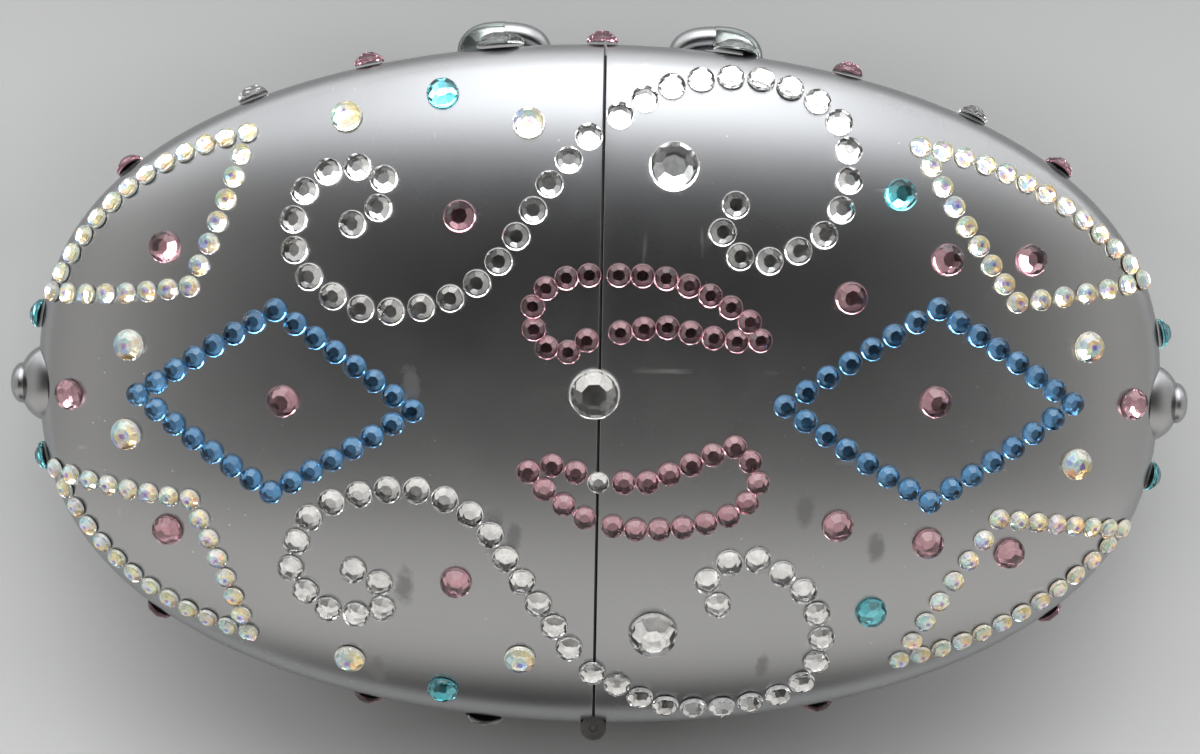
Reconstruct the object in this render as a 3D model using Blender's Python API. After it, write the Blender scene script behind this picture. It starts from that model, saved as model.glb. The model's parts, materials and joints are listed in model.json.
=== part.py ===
"""A gem-set, egg-shaped metal case that opens at a seam across its middle.

It lies on its back: +X runs along the case, +Y towards the edge with the strap lugs, and +Z out of the
set face. The origin is on the rest land, under the middle. Lengths are in metres.
"""
import math

import bmesh
import bpy
from mathutils import Vector

MM = 0.001

# Body of the case: an ellipsoid made fuller across, by a power above 2 on Y
HALF_LENGTH = 110.6 * MM
HALF_WIDTH = 68.0 * MM
HALF_DEPTH = 20.5 * MM
ACROSS_POWER = 2.5
WALL = 1.8 * MM
SEAM_GAP = 0.5 * MM
LAND_DEPTH = 0.6 * MM
MID_Z = HALF_DEPTH - LAND_DEPTH
GAP = 0.3 * MM

# Frame rings behind the seam, and the linings
RING_THICKNESS = 1.5 * MM
RING_BACK = 8.0 * MM
LIP_REACH = 3.0 * MM
LINING_INSET = 3.6 * MM
LINING_THICKNESS = 1.2 * MM
LINING_START = 9.0 * MM
LINING_END_INSET = 9.0 * MM

# Hinge at the -Y end of the seam
HINGE_Y = -HALF_WIDTH
BARREL_RADIUS = 2.6 * MM
BARREL_LENGTH = 10.0 * MM
PIN_RADIUS = 0.7 * MM
LEAF_INSET = WALL + GAP + RING_THICKNESS + GAP
LEAF_THICKNESS = 1.0 * MM
LEAF_LENGTH = 8.0 * MM

# Strap lugs near the +Y end of the seam
LUG_HALF = 9.2 * MM
LUG_RISE = 6.0 * MM
LUG_X = {"left": -19.6 * MM, "right": 21.4 * MM}
LUG_Z = -5.5 * MM

# Finials at the two ends
FINIAL_BASE = (5.4 * MM, 7.4 * MM, 5.6 * MM)
FINIAL_BUTTON = (3.3 * MM, 4.0 * MM)

# Stones
SEAT = 0.35 * MM
AB_SIZE = 4.0 * MM
BLUE_SIZE = 4.6 * MM
ROSE_SIZE = 4.7 * MM
SCROLL_SIZE = 5.4 * MM

MATERIALS = {
    "satin_silver": ((0.62, 0.62, 0.61), 0.34, 1.0),
    "chrome": ((0.78, 0.79, 0.80), 0.06, 1.0),
    "hinge_steel": ((0.48, 0.47, 0.45), 0.3, 1.0),
    "magnet_black": ((0.05, 0.05, 0.055), 0.4, 0.0),
    "lining_satin": ((0.42, 0.40, 0.39), 0.75, 0.0),
    "clear_stone": ((0.86, 0.88, 0.90), 0.05, 0.6),
    "ab_stone": ((0.60, 0.72, 0.66), 0.06, 0.6),
    "blue_stone": ((0.05, 0.20, 0.48), 0.05, 0.4),
    "rose_stone": ((0.78, 0.36, 0.42), 0.05, 0.4),
}


def clear_scene():
    for obj in list(bpy.data.objects):
        bpy.data.objects.remove(obj, do_unlink=True)


def make_materials():
    made = {}
    for name, (colour, roughness, metallic) in MATERIALS.items():
        material = bpy.data.materials.new(name)
        material.use_nodes = True
        shader = material.node_tree.nodes["Principled BSDF"]
        shader.inputs["Base Color"].default_value = (*colour, 1.0)
        shader.inputs["Roughness"].default_value = roughness
        shader.inputs["Metallic"].default_value = metallic
        made[name] = material
    return made


def add_object(name, bm):
    """Turn a bmesh into a named object with every face turned outwards."""
    bm.normal_update()
    bmesh.ops.recalc_face_normals(bm, faces=bm.faces)
    if bm.calc_volume(signed=True) < 0:
        bmesh.ops.reverse_faces(bm, faces=bm.faces)
    mesh = bpy.data.meshes.new(name)
    bm.to_mesh(mesh)
    bm.free()
    obj = bpy.data.objects.new(name, mesh)
    bpy.context.scene.collection.objects.link(obj)
    return obj


def finish(obj, material, smooth_angle=35):
    """Give a finished body its own material and smooth its round faces."""
    own = material.copy()
    own.name = obj.name + "_" + material.name
    obj.data.materials.clear()
    obj.data.materials.append(own)
    obj.data.shade_smooth()
    obj.data.set_sharp_from_angle(angle=math.radians(smooth_angle))
    return obj


def combine(obj, operation, other):
    """Join or cut with an exact Boolean, then drop the helper body."""
    modifier = obj.modifiers.new("combine", "BOOLEAN")
    modifier.operation = operation
    modifier.solver = "EXACT"
    modifier.object = other
    graph = bpy.context.evaluated_depsgraph_get()
    mesh = bpy.data.meshes.new_from_object(obj.evaluated_get(graph))
    obj.modifiers.clear()
    obj.data = mesh
    bpy.data.objects.remove(other, do_unlink=True)
    return obj


def cut(obj, cutter):
    return combine(obj, "DIFFERENCE", cutter)


def join(obj, other):
    return combine(obj, "UNION", other)


# Shapes


def growth(along, across, up):
    """How far the body's surface lies in a direction, in units of its half-axes, found by Newton steps."""
    grow = 1.0
    for _ in range(12):
        squares = (along * along + up * up) * grow**2
        rest = abs(across * grow) ** ACROSS_POWER
        grow -= (squares + rest - 1.0) * grow / (2.0 * squares + ACROSS_POWER * rest)
    return grow


def egg(name, inset, end_inset=None, segments=48, rings=32, span=None):
    """A closed egg body, inset from the case's outside, and sliced to the span of X that is asked for."""
    long_axis = HALF_LENGTH - (inset if end_inset is None else end_inset)
    wide_axis = HALF_WIDTH - inset
    deep_axis = HALF_DEPTH - inset
    bm = bmesh.new()
    bmesh.ops.create_uvsphere(bm, u_segments=segments, v_segments=rings, radius=1.0)
    for vert in bm.verts:
        along, across, up = vert.co.z, vert.co.x, vert.co.y
        grow = growth(along, across, up)
        vert.co = (along * grow * long_axis, across * grow * wide_axis, up * grow * deep_axis + MID_Z)
    if span:
        slice_ends(bm, span)
    return add_object(name, bm)


def slice_ends(bm, span):
    """Keep the part of a body between two stations along X, and close its ends."""
    for station, direction in ((span[0], -1.0), (span[1], 1.0)):
        everything = bm.verts[:] + bm.edges[:] + bm.faces[:]
        cut_through = bmesh.ops.bisect_plane(
            bm, geom=everything, dist=1e-7, plane_co=(station, 0, 0), plane_no=(direction, 0, 0), clear_outer=True
        )
        rim = [part for part in cut_through["geom_cut"] if isinstance(part, bmesh.types.BMEdge)]
        if rim:
            bmesh.ops.contextual_create(bm, geom=rim)


def box(name, low, high):
    bm = bmesh.new()
    bmesh.ops.create_cube(bm, size=1.0)
    size = [high[i] - low[i] for i in range(3)]
    middle = [(high[i] + low[i]) / 2 for i in range(3)]
    bmesh.ops.scale(bm, vec=size, verts=bm.verts)
    bmesh.ops.translate(bm, vec=middle, verts=bm.verts)
    return add_object(name, bm)


def lathe(name, profile, middle, axis, steps=24):
    """A round body whose profile is (distance along the axis, radius) pairs, closed at both ends."""
    bm = bmesh.new()
    turn = Vector((0, 0, 1)).rotation_difference(Vector(axis)).to_matrix()
    rings = []
    for along, radius in profile:
        ring = []
        for step in range(steps):
            angle = math.tau * step / steps
            spot = Vector((radius * math.cos(angle), radius * math.sin(angle), along))
            ring.append(bm.verts.new(turn @ spot + Vector(middle)))
        rings.append(ring)
    for lower, upper in zip(rings, rings[1:]):
        for step in range(steps):
            after = (step + 1) % steps
            bm.faces.new((lower[step], lower[after], upper[after], upper[step]))
    bm.faces.new(rings[0])
    bm.faces.new(rings[-1])
    return add_object(name, bm)


def rod(name, middle, axis, radius, start, end, steps=24):
    return lathe(name, [(start, radius), (end, radius)], middle, axis, steps)


def ellipsoid(name, middle, axes, segments=24, rings=14):
    bm = bmesh.new()
    bmesh.ops.create_uvsphere(bm, u_segments=segments, v_segments=rings, radius=1.0)
    for vert in bm.verts:
        along, across, up = vert.co.z, vert.co.x, vert.co.y
        vert.co = Vector((along * axes[0], across * axes[1], up * axes[2])) + Vector(middle)
    return add_object(name, bm)


# Places on the outside of the case


def outline_share(x, y):
    """0 in the middle of the plan and 1 on its outline."""
    return (x / HALF_LENGTH) ** 2 + abs(y / HALF_WIDTH) ** ACROSS_POWER


def on_face(x, y):
    """The point of the set face over a place in plan."""
    share = min(outline_share(x, y), 0.9998)
    return Vector((x, y, MID_Z + HALF_DEPTH * math.sqrt(1.0 - share)))


def on_edge(x, z, side):
    """The point of the rim at a station along the case and a height from its mid-plane; side is +1 or -1."""
    across = (1.0 - (z / HALF_DEPTH) ** 2 - (x / HALF_LENGTH) ** 2) ** (1.0 / ACROSS_POWER)
    return Vector((x, side * across * HALF_WIDTH, MID_Z + z))


def outward(point):
    """The outward direction of the surface at a point on it."""
    slope_x = 2.0 * point.x / HALF_LENGTH**2
    share = abs(point.y / HALF_WIDTH) ** (ACROSS_POWER - 1.0)
    slope_y = math.copysign(ACROSS_POWER * share / HALF_WIDTH, point.y)
    slope_z = 2.0 * (point.z - MID_Z) / HALF_DEPTH**2
    return Vector((slope_x, slope_y, slope_z)).normalized()


# Lines of stones


def smooth_line(corners, closed, parts=16):
    """A smooth line through a few points in plan, given in millimetres."""
    spots = [Vector((x * MM, y * MM)) for x, y in corners]
    count = len(spots)
    legs = count if closed else count - 1
    line = []
    for leg in range(legs):
        before = spots[(leg - 1) % count] if closed or leg > 0 else spots[0] * 2 - spots[1]
        start = spots[leg]
        end = spots[(leg + 1) % count]
        after = spots[(leg + 2) % count] if closed or leg + 2 < count else end * 2 - start
        for part in range(parts):
            t = part / parts
            line.append(
                0.5
                * (
                    2 * start
                    + (end - before) * t
                    + (2 * before - 5 * start + 4 * end - after) * t * t
                    + (3 * start - before - 3 * end + after) * t**3
                )
            )
    if not closed:
        line.append(spots[-1])
    return line


def bowed_line(corners, bows, parts=12):
    """A closed outline in plan with sharp corners, each side bowed outwards by the height given in millimetres."""
    spots = [Vector((x * MM, y * MM)) for x, y in corners]
    middle = sum(spots, Vector((0, 0))) / len(spots)
    line = []
    for index, bow in enumerate(bows):
        start = spots[index]
        end = spots[(index + 1) % len(spots)]
        side = (end - start).normalized()
        out = Vector((side.y, -side.x))
        if out.dot((start + end) / 2 - middle) < 0:
            out = -out
        for part in range(parts):
            t = part / parts
            line.append(start.lerp(end, t) + out * bow * MM * 4 * t * (1 - t))
    return line


def even_spots(line, closed, pitch):
    """Points at even steps of about half a pitch along a line on the set face."""
    path = [on_face(spot.x, spot.y) for spot in line]
    if closed:
        path.append(path[0])
    lengths = [0.0]
    for one, two in zip(path, path[1:]):
        lengths.append(lengths[-1] + (two - one).length)
    stones = max(2, round(lengths[-1] / pitch))
    steps = 2 * stones
    spots = []
    at = 0
    for step in range(steps if closed else steps + 1):
        want = lengths[-1] * step / steps
        while at < len(path) - 2 and lengths[at + 1] < want:
            at += 1
        span = lengths[at + 1] - lengths[at]
        spots.append(path[at].lerp(path[at + 1], (want - lengths[at]) / span))
    return [on_face(spot.x, spot.y) for spot in spots]


def stone_strip(name, line, closed, size):
    """A row of stones as one beaded strip: wide and high at each stone, narrow and low between stones."""
    spots = even_spots(line, closed, size * 1.07)
    bm = bmesh.new()
    rings = []
    for index, spot in enumerate(spots):
        before = spots[index - 1] if closed or index > 0 else spot
        after = spots[(index + 1) % len(spots)] if closed or index + 1 < len(spots) else spot
        out = outward(spot)
        side = out.cross((after - before).normalized()).normalized()
        stone = index % 2 == 0
        half = size * (0.47 if stone else 0.27)
        top = SEAT + size * (0.36 if stone else 0.2)
        table = half * 0.55
        ring = [
            bm.verts.new(spot + out * SEAT - side * half),
            bm.verts.new(spot + out * SEAT + side * half),
            bm.verts.new(spot + out * top + side * table),
            bm.verts.new(spot + out * top - side * table),
        ]
        rings.append(ring)
    pairs = list(zip(rings, rings[1:]))
    if closed:
        pairs.append((rings[-1], rings[0]))
    for one, two in pairs:
        for corner in range(4):
            following = (corner + 1) % 4
            bm.faces.new((one[corner], one[following], two[following], two[corner]))
    if not closed:
        bm.faces.new(rings[0])
        bm.faces.new(rings[-1])
    return add_object(name, bm)


def single_stone(name, point, size, steps=16):
    """A flat-backed faceted stone: girdle, crown and table."""
    radius = size / 2
    profile = [(SEAT, radius * 0.94), (SEAT + size * 0.06, radius), (SEAT + size * 0.38, radius * 0.55)]
    return lathe(name, profile, point, outward(point), steps)


# The pieces


def build_shells(mats):
    for side, sign in (("left", -1), ("right", 1)):
        near = sign * SEAM_GAP / 2
        far = sign * HALF_LENGTH * 1.2
        shell = egg(side + "_shell", 0.0, span=(min(near, far), max(near, far)))
        cut(shell, egg("hollow", WALL))
        cut(shell, box("under_land", (-0.2, -0.2, -0.05), (0.2, 0.2, 0.0)))
        cut(shell, rod("barrel_notch", (0, HINGE_Y, MID_Z), (0, 0, 1), BARREL_RADIUS + GAP, -5.4 * MM, 5.4 * MM))
        notch_low = (-2.3 * MM, HINGE_Y, MID_Z - 5.4 * MM)
        notch_high = (2.3 * MM, HINGE_Y + 6 * MM, MID_Z + 5.4 * MM)
        cut(shell, box("web_notch", notch_low, notch_high))
        tip = (sign * HALF_LENGTH, 0, MID_Z)
        cut(shell, rod("stud_hole", tip, (1, 0, 0), 1.2 * MM, -6 * MM, 6 * MM, 16))
        for foot in lug_feet(side):
            cut(shell, rod("screw_hole", foot, outward(foot), 1.1 * MM, -4 * MM, 4 * MM, 12))
        finish(shell, mats["satin_silver"])


def build_rings(mats):
    inset = WALL + GAP
    spans = {"left": (-RING_BACK, LIP_REACH), "right": (LIP_REACH + 0.6 * MM, RING_BACK)}
    for side, span in spans.items():
        ring = egg(side + "_frame_ring", inset, span=span)
        cut(ring, egg("hollow", inset + RING_THICKNESS))
        reach = 5.4 * MM
        notch_low = (-2.3 * MM, HINGE_Y - 1 * MM, MID_Z - reach)
        notch_high = (LIP_REACH + 0.5 * MM, HINGE_Y + 8 * MM, MID_Z + reach)
        cut(ring, box("hinge_notch", notch_low, notch_high))
        cut(ring, rod("rivet_hole", rivet_spot(side), (0, 1, 0), 1.1 * MM, -4 * MM, 4 * MM, 12))
        finish(ring, mats["chrome"])


def build_linings(mats):
    for side, sign in (("left", -1), ("right", 1)):
        near = sign * LINING_START
        far = sign * HALF_LENGTH * 1.2
        span = (min(near, far), max(near, far))
        lining = egg(side + "_lining", LINING_INSET, LINING_END_INSET, 24, 18, span)
        inner = LINING_INSET + LINING_THICKNESS
        cut(lining, egg("hollow", inner, LINING_END_INSET + LINING_THICKNESS, 24, 18))
        finish(lining, mats["lining_satin"])


def rivet_spot(side):
    """Where the rivet of a hinge leaf crosses the leaf's outer face."""
    sign = -1 if side == "left" else 1
    return Vector((sign * 5.2 * MM, HINGE_Y + LEAF_INSET, MID_Z))


def build_hinge(mats):
    third = (BARREL_LENGTH - 2 * GAP) / 3
    bottom = -BARREL_LENGTH / 2
    tiers = {
        "left": [(bottom, bottom + third), (bottom + 2 * (third + GAP), bottom + BARREL_LENGTH)],
        "right": [(bottom + third + GAP, bottom + 2 * third + GAP)],
    }
    axis_at = (0, HINGE_Y, MID_Z)
    for side, sign in (("left", -1), ("right", 1)):
        near = sign * 0.4 * MM
        far = sign * LEAF_LENGTH
        leaf = egg(side + "_hinge_leaf", LEAF_INSET, span=(min(near, far), max(near, far)))
        cut(leaf, egg("hollow", LEAF_INSET + LEAF_THICKNESS))
        cut(leaf, box("above", (-0.1, -0.2, MID_Z + 5 * MM), (0.1, 0.2, 0.1)))
        cut(leaf, box("below", (-0.1, -0.2, -0.1), (0.1, 0.2, MID_Z - 5 * MM)))
        cut(leaf, box("beyond", (-0.1, 0.0, -0.1), (0.1, 0.2, 0.1)))
        for low, high in tiers[side]:
            web_low = (min(sign * 1.9, sign * 0.4) * MM, HINGE_Y + 1.0 * MM, MID_Z + low)
            web_high = (max(sign * 1.9, sign * 0.4) * MM, HINGE_Y + LEAF_INSET + 0.5 * MM, MID_Z + high)
            knuckle = rod("knuckle", axis_at, (0, 0, 1), BARREL_RADIUS, low, high)
            join(knuckle, box("web", web_low, web_high))
            join(leaf, knuckle)
        cut(leaf, rod("pin_hole", axis_at, (0, 0, 1), PIN_RADIUS + 0.1 * MM, -0.02, 0.02, 16))
        spot = rivet_spot(side)
        cut(leaf, rod("rivet_hole", spot, (0, 1, 0), 1.1 * MM, -2 * MM, 3 * MM, 12))
        profile = [(-1.4 * MM, 0.8 * MM), (1.65 * MM, 0.8 * MM), (1.65 * MM, 1.5 * MM), (2.3 * MM, 1.1 * MM)]
        finish(lathe(side + "_hinge_rivet", profile, spot, (0, 1, 0), 12), mats["hinge_steel"])
        finish(leaf, mats["hinge_steel"])
    pin = rod("hinge_pin", axis_at, (0, 0, 1), PIN_RADIUS, -4.9 * MM, 4.9 * MM, 16)
    finish(pin, mats["hinge_steel"])


def build_closure(mats):
    """A magnet on the left frame ring faces a steel plate on the right one, just inside the +Y end of the seam."""
    level = HALF_WIDTH - WALL - 2 * GAP - RING_THICKNESS - 4.6 * MM
    centre = Vector((0, level, MID_Z))
    cup = rod("magnet_cup", centre, (-1, 0, 0), 4.2 * MM, 0.4 * MM, 5.0 * MM)
    cut(cup, rod("pocket", centre, (-1, 0, 0), 3.3 * MM, 0.0, 3.9 * MM))
    finish(cup, mats["hinge_steel"])
    finish(rod("magnet", centre, (-1, 0, 0), 3.0 * MM, 0.4 * MM, 3.6 * MM), mats["magnet_black"])
    bracket = rod("strike_bracket", centre, (1, 0, 0), 4.2 * MM, 2.0 * MM, 5.0 * MM)
    finish(bracket, mats["hinge_steel"])
    finish(rod("strike_plate", centre, (1, 0, 0), 3.8 * MM, 0.4 * MM, 1.7 * MM), mats["chrome"])


def lug_feet(side):
    middle = LUG_X[side]
    return [on_edge(middle + step * 7.4 * MM, LUG_Z, 1) for step in (-1, 1)]


def arch(name, middle_x, base_y, half, rise, depth, z_front, inner_half, inner_rise, part):
    """One half of a rounded arch seen from the front: part is -1 or +1 for its left or right half."""
    bm = bmesh.new()
    steps = 10
    outer = []
    inner = []
    for step in range(steps + 1):
        angle = math.pi / 2 * step / steps
        across = math.sin(angle) ** 0.8
        up = math.cos(angle) ** 0.8
        outer.append((middle_x + part * half * across, base_y + rise * up))
        inner.append((middle_x + part * inner_half * across, base_y + inner_rise * up))
    low_outer = (outer[-1][0], base_y - 8 * MM)
    low_inner = (inner[-1][0], base_y - 8 * MM)
    loop = outer + [low_outer, low_inner] + inner[::-1]
    front = [bm.verts.new((x, y, z_front)) for x, y in loop]
    back = [bm.verts.new((x, y, z_front - depth)) for x, y in loop]
    bm.faces.new(front)
    bm.faces.new(back)
    for index in range(len(loop)):
        after = (index + 1) % len(loop)
        bm.faces.new((front[index], front[after], back[after], back[index]))
    return add_object(name, bm)


def build_lugs(mats):
    """Each lug is a bridge: a thick rounded bar on the seam side and a thinner, set-back arch on the other."""
    for side, sign in (("left", -1), ("right", 1)):
        middle = LUG_X[side]
        base = on_edge(middle, LUG_Z, 1).y
        front = MID_Z + LUG_Z + 2.6 * MM
        bar = arch(side + "_lug", middle, base, LUG_HALF, LUG_RISE, 5.2 * MM, front, 5.2 * MM, 3.9 * MM, -sign)
        tail = arch("tail", middle, base, LUG_HALF, LUG_RISE, 3.6 * MM, front - 0.9 * MM, 5.2 * MM, 5.2 * MM, sign)
        join(bar, tail)
        bevel = bar.modifiers.new("soft_edges", "BEVEL")
        bevel.width = 0.5 * MM
        bevel.segments = 2
        bevel.limit_method = "ANGLE"
        bevel.angle_limit = math.radians(50)
        cut(bar, egg("case", -GAP))
        for number, foot in enumerate(lug_feet(side), 1):
            direction = outward(foot)
            cut(bar, rod("screw_hole", foot, direction, 1.1 * MM, -4 * MM, 2.3 * MM, 12))
            profile = [(-2.9 * MM, 1.2 * MM), (-2.3 * MM, 1.6 * MM), (-2.1 * MM, 1.6 * MM), (-2.1 * MM, 0.8 * MM)]
            profile.append((2.0 * MM, 0.8 * MM))
            screw = lathe("%s_lug_screw_%d" % (side, number), profile, foot, direction, 12)
            finish(screw, mats["hinge_steel"])
        finish(bar, mats["chrome"])


def knob_profile():
    """The button's round outline with its stud: the underside follows the base's dome, and the top is a low crown."""
    reach, top = FINIAL_BASE[0], FINIAL_BUTTON[0]
    radius = FINIAL_BUTTON[1]
    profile = [(-3.4 * MM, 0.85 * MM), (reach + GAP, 0.85 * MM), (reach - 0.35 * MM, radius * 0.9)]
    for step in range(6):
        angle = math.radians(16 * step)
        profile.append((reach - 0.1 * MM + top * 0.86 * math.sin(angle), radius * math.cos(angle)))
    return profile


def build_finials(mats):
    for side, sign in (("left", -1), ("right", 1)):
        middle = (sign * (HALF_LENGTH - 2.0 * MM), 0, MID_Z)
        base = ellipsoid(side + "_finial_base", middle, FINIAL_BASE)
        cut(base, egg("case", -GAP))
        cut(base, rod("stud_hole", middle, (1, 0, 0), 1.2 * MM, -0.02, 0.02, 16))
        finish(base, mats["satin_silver"])
        knob = lathe(side + "_finial_button", knob_profile(), middle, (sign, 0, 0))
        finish(knob, mats["satin_silver"])
        nut = rod(side + "_finial_nut", middle, (sign, 0, 0), 2.1 * MM, -3.2 * MM, -1.6 * MM, 6)
        cut(nut, rod("thread", middle, (1, 0, 0), 1.15 * MM, -0.02, 0.02, 16))
        finish(nut, mats["hinge_steel"], 20)


def build_triangles(mats):
    """Four bowed triangles of iridescent stones, one in each quarter."""
    shapes = {
        "upper_left": ([(-68.0, 50.4), (-106.7, 18.4), (-78.8, 21.4)], (6.0, 0.6, 0.8)),
        "upper_right": ([(60.2, 50.3), (105.2, 24.4), (79.7, 21.3)], (4.6, 0.3, 0.6)),
        "lower_left": ([(-68.4, -47.9), (-106.8, -16.7), (-79.0, -20.2)], (5.8, 0.5, 0.6)),
        "lower_right": ([(60.2, -51.1), (103.8, -25.0), (78.0, -21.3)], (4.2, 0.3, 0.6)),
    }
    for place, (corners, bows) in shapes.items():
        strip = stone_strip("ab_triangle_" + place, bowed_line(corners, bows), True, AB_SIZE)
        finish(strip, mats["ab_stone"], 20)


def build_diamonds(mats):
    for side, centre, half in (("left", (-62.3, 0.0), (26.7, 17.8)), ("right", (63.6, 1.3), (28.0, 18.8))):
        corners = [
            (centre[0] - half[0], centre[1]),
            (centre[0], centre[1] + half[1]),
            (centre[0] + half[0], centre[1]),
            (centre[0], centre[1] - half[1]),
        ]
        strip = stone_strip("blue_diamond_" + side, bowed_line(corners, (0.5, 0.5, 0.5, 0.5)), True, BLUE_SIZE)
        finish(strip, mats["blue_stone"], 20)


def build_leaves(mats):
    """Two rose leaf outlines that cross the seam, so each is made of a short left part and a long right part."""
    shapes = {
        "upper_left": [(-2.9, 13.2), (-8.4, 11.4), (-12.2, 14.4), (-12.9, 19.6), (-9.3, 24.1), (-2.7, 25.9)],
        "upper_right": [(3.5, 15.4), (12.2, 16.3), (21.4, 14.4), (29.9, 14.0), (27.7, 18.0), (20.2, 22.6),
                        (11.8, 25.6), (3.3, 26.0)],
        "lower_left": [(-2.8, -12.4), (-8.4, -10.8), (-13.3, -12.2), (-10.0, -16.8), (-2.7, -20.9)],
        "lower_right": [(3.6, -13.8), (10.2, -13.5), (18.0, -10.1), (26.4, -6.8), (30.5, -13.6), (24.4, -20.3),
                        (15.6, -22.9), (3.5, -22.8)],
    }
    for place, corners in shapes.items():
        finish(stone_strip("rose_leaf_" + place, smooth_line(corners, False), False, ROSE_SIZE), mats["rose_stone"], 20)


def build_scrolls(mats):
    """Two S-shaped scrolls of clear stones that cross the seam, each in a left and a right part."""
    shapes = {
        "upper_left": [(-47.2, 34.5), (-41.8, 38.2), (-41.7, 43.4), (-47.6, 45.1), (-56.6, 40.4), (-58.0, 29.9),
                       (-45.1, 18.8), (-33.2, 19.3), (-22.7, 24.5), (-11.0, 41.0), (-2.9, 51.5)],
        "upper_right": [(3.5, 56.1), (11.6, 60.5), (22.7, 62.4), (33.9, 61.3), (44.1, 55.2), (46.4, 44.7),
                        (42.5, 34.6), (33.0, 29.4), (26.3, 29.6), (22.7, 34.2), (24.7, 39.4)],
        "lower_left": [(-47.3, -33.0), (-41.9, -36.0), (-42.1, -41.4), (-48.7, -42.4), (-57.1, -38.6), (-58.4, -27.2),
                       (-45.0, -17.4), (-33.4, -16.6), (-23.0, -21.8), (-10.1, -40.4), (-3.3, -50.5)],
        "lower_right": [(3.9, -56.1), (14.1, -60.8), (25.2, -61.1), (36.3, -58.4), (42.9, -51.4), (43.1, -42.4),
                        (38.3, -33.3), (30.3, -28.9), (23.7, -30.7), (21.9, -38.1)],
    }
    for place, corners in shapes.items():
        strip = stone_strip("clear_scroll_" + place, smooth_line(corners, False), False, SCROLL_SIZE)
        finish(strip, mats["clear_stone"], 20)


def build_large_stones(mats):
    for name, x, y in (("centre", -0.9, 3.4), ("upper", 13.3, 46.3), ("lower", 11.3, -44.7)):
        finish(single_stone("large_stone_" + name, on_face(x * MM, y * MM), 9.8 * MM), mats["clear_stone"], 20)
    seam_top = on_edge(-0.6 * MM, 1.5 * MM, 1)
    finish(single_stone("rim_stone_over_seam", seam_top, 6.2 * MM), mats["rose_stone"], 20)


def main():
    clear_scene()
    mats = make_materials()
    build_shells(mats)
    build_rings(mats)
    build_linings(mats)
    build_hinge(mats)
    build_closure(mats)
    build_lugs(mats)
    build_finials(mats)
    build_triangles(mats)
    build_diamonds(mats)
    build_leaves(mats)
    build_scrolls(mats)
    build_large_stones(mats)


main()
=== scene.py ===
"""The finished look of the gem-set egg-shaped case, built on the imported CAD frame."""
import json
import math
import random

import bmesh
import bpy
from mathutils import Matrix, Vector


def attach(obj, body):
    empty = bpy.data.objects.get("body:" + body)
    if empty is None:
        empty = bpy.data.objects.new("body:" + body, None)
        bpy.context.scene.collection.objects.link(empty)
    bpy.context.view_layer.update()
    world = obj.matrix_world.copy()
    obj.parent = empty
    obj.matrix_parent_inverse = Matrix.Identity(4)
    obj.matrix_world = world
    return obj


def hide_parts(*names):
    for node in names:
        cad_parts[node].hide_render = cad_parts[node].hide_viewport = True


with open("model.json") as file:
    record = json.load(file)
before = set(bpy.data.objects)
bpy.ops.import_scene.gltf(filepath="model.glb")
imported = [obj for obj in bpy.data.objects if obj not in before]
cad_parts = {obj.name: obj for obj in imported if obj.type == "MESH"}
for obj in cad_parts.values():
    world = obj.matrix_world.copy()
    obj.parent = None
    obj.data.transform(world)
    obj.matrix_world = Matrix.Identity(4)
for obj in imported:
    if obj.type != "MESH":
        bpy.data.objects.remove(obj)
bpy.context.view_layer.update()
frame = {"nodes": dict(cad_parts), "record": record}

MM = 0.001

# The case, in metres, as the CAD has it
HALF_LENGTH = 110.6 * MM
HALF_WIDTH = 68.0 * MM
HALF_DEPTH = 20.5 * MM
ACROSS_POWER = 2.5
WALL = 1.8 * MM
SEAM = 0.25 * MM
MID_Z = 19.9 * MM
HINGE_Y = -68.0 * MM
LUG_HALF = 9.2 * MM
LUG_RISE = 6.6 * MM
LUG_X = {"left": -19.6 * MM, "right": 21.4 * MM}
LUG_Z = -5.5 * MM
LEFT = "left_half"
RIGHT = "right_half"
# How near the outline, as a share, a place on the face may come
FACE_LIMIT = 0.9998


# Places on the outside of the case


def on_face(x, y):
    """The point of the decorated face over a place in plan."""
    share = min((x / HALF_LENGTH) ** 2 + abs(y / HALF_WIDTH) ** ACROSS_POWER, FACE_LIMIT)
    return Vector((x, y, MID_Z + HALF_DEPTH * math.sqrt(1.0 - share)))


def on_edge(x, z, side):
    """The point of the long edge on the +Y or -Y side, at a height from the body's middle."""
    across = (1.0 - (z / HALF_DEPTH) ** 2 - (x / HALF_LENGTH) ** 2) ** (1.0 / ACROSS_POWER)
    return Vector((x, side * across * HALF_WIDTH, MID_Z + z))


def on_end(y, z, side):
    """The point of the left or right end, at a height from the body's middle."""
    along = math.sqrt(1.0 - (z / HALF_DEPTH) ** 2 - abs(y / HALF_WIDTH) ** ACROSS_POWER)
    return Vector((side * along * HALF_LENGTH, y, MID_Z + z))


def outward(point):
    """Which way the body faces at a point of its surface."""
    slope_x = 2.0 * point.x / HALF_LENGTH**2
    share = abs(point.y / HALF_WIDTH) ** (ACROSS_POWER - 1.0)
    slope_y = math.copysign(ACROSS_POWER * share / HALF_WIDTH, point.y)
    slope_z = 2.0 * (point.z - MID_Z) / HALF_DEPTH**2
    return Vector((slope_x, slope_y, slope_z)).normalized()


# Node helpers


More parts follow.
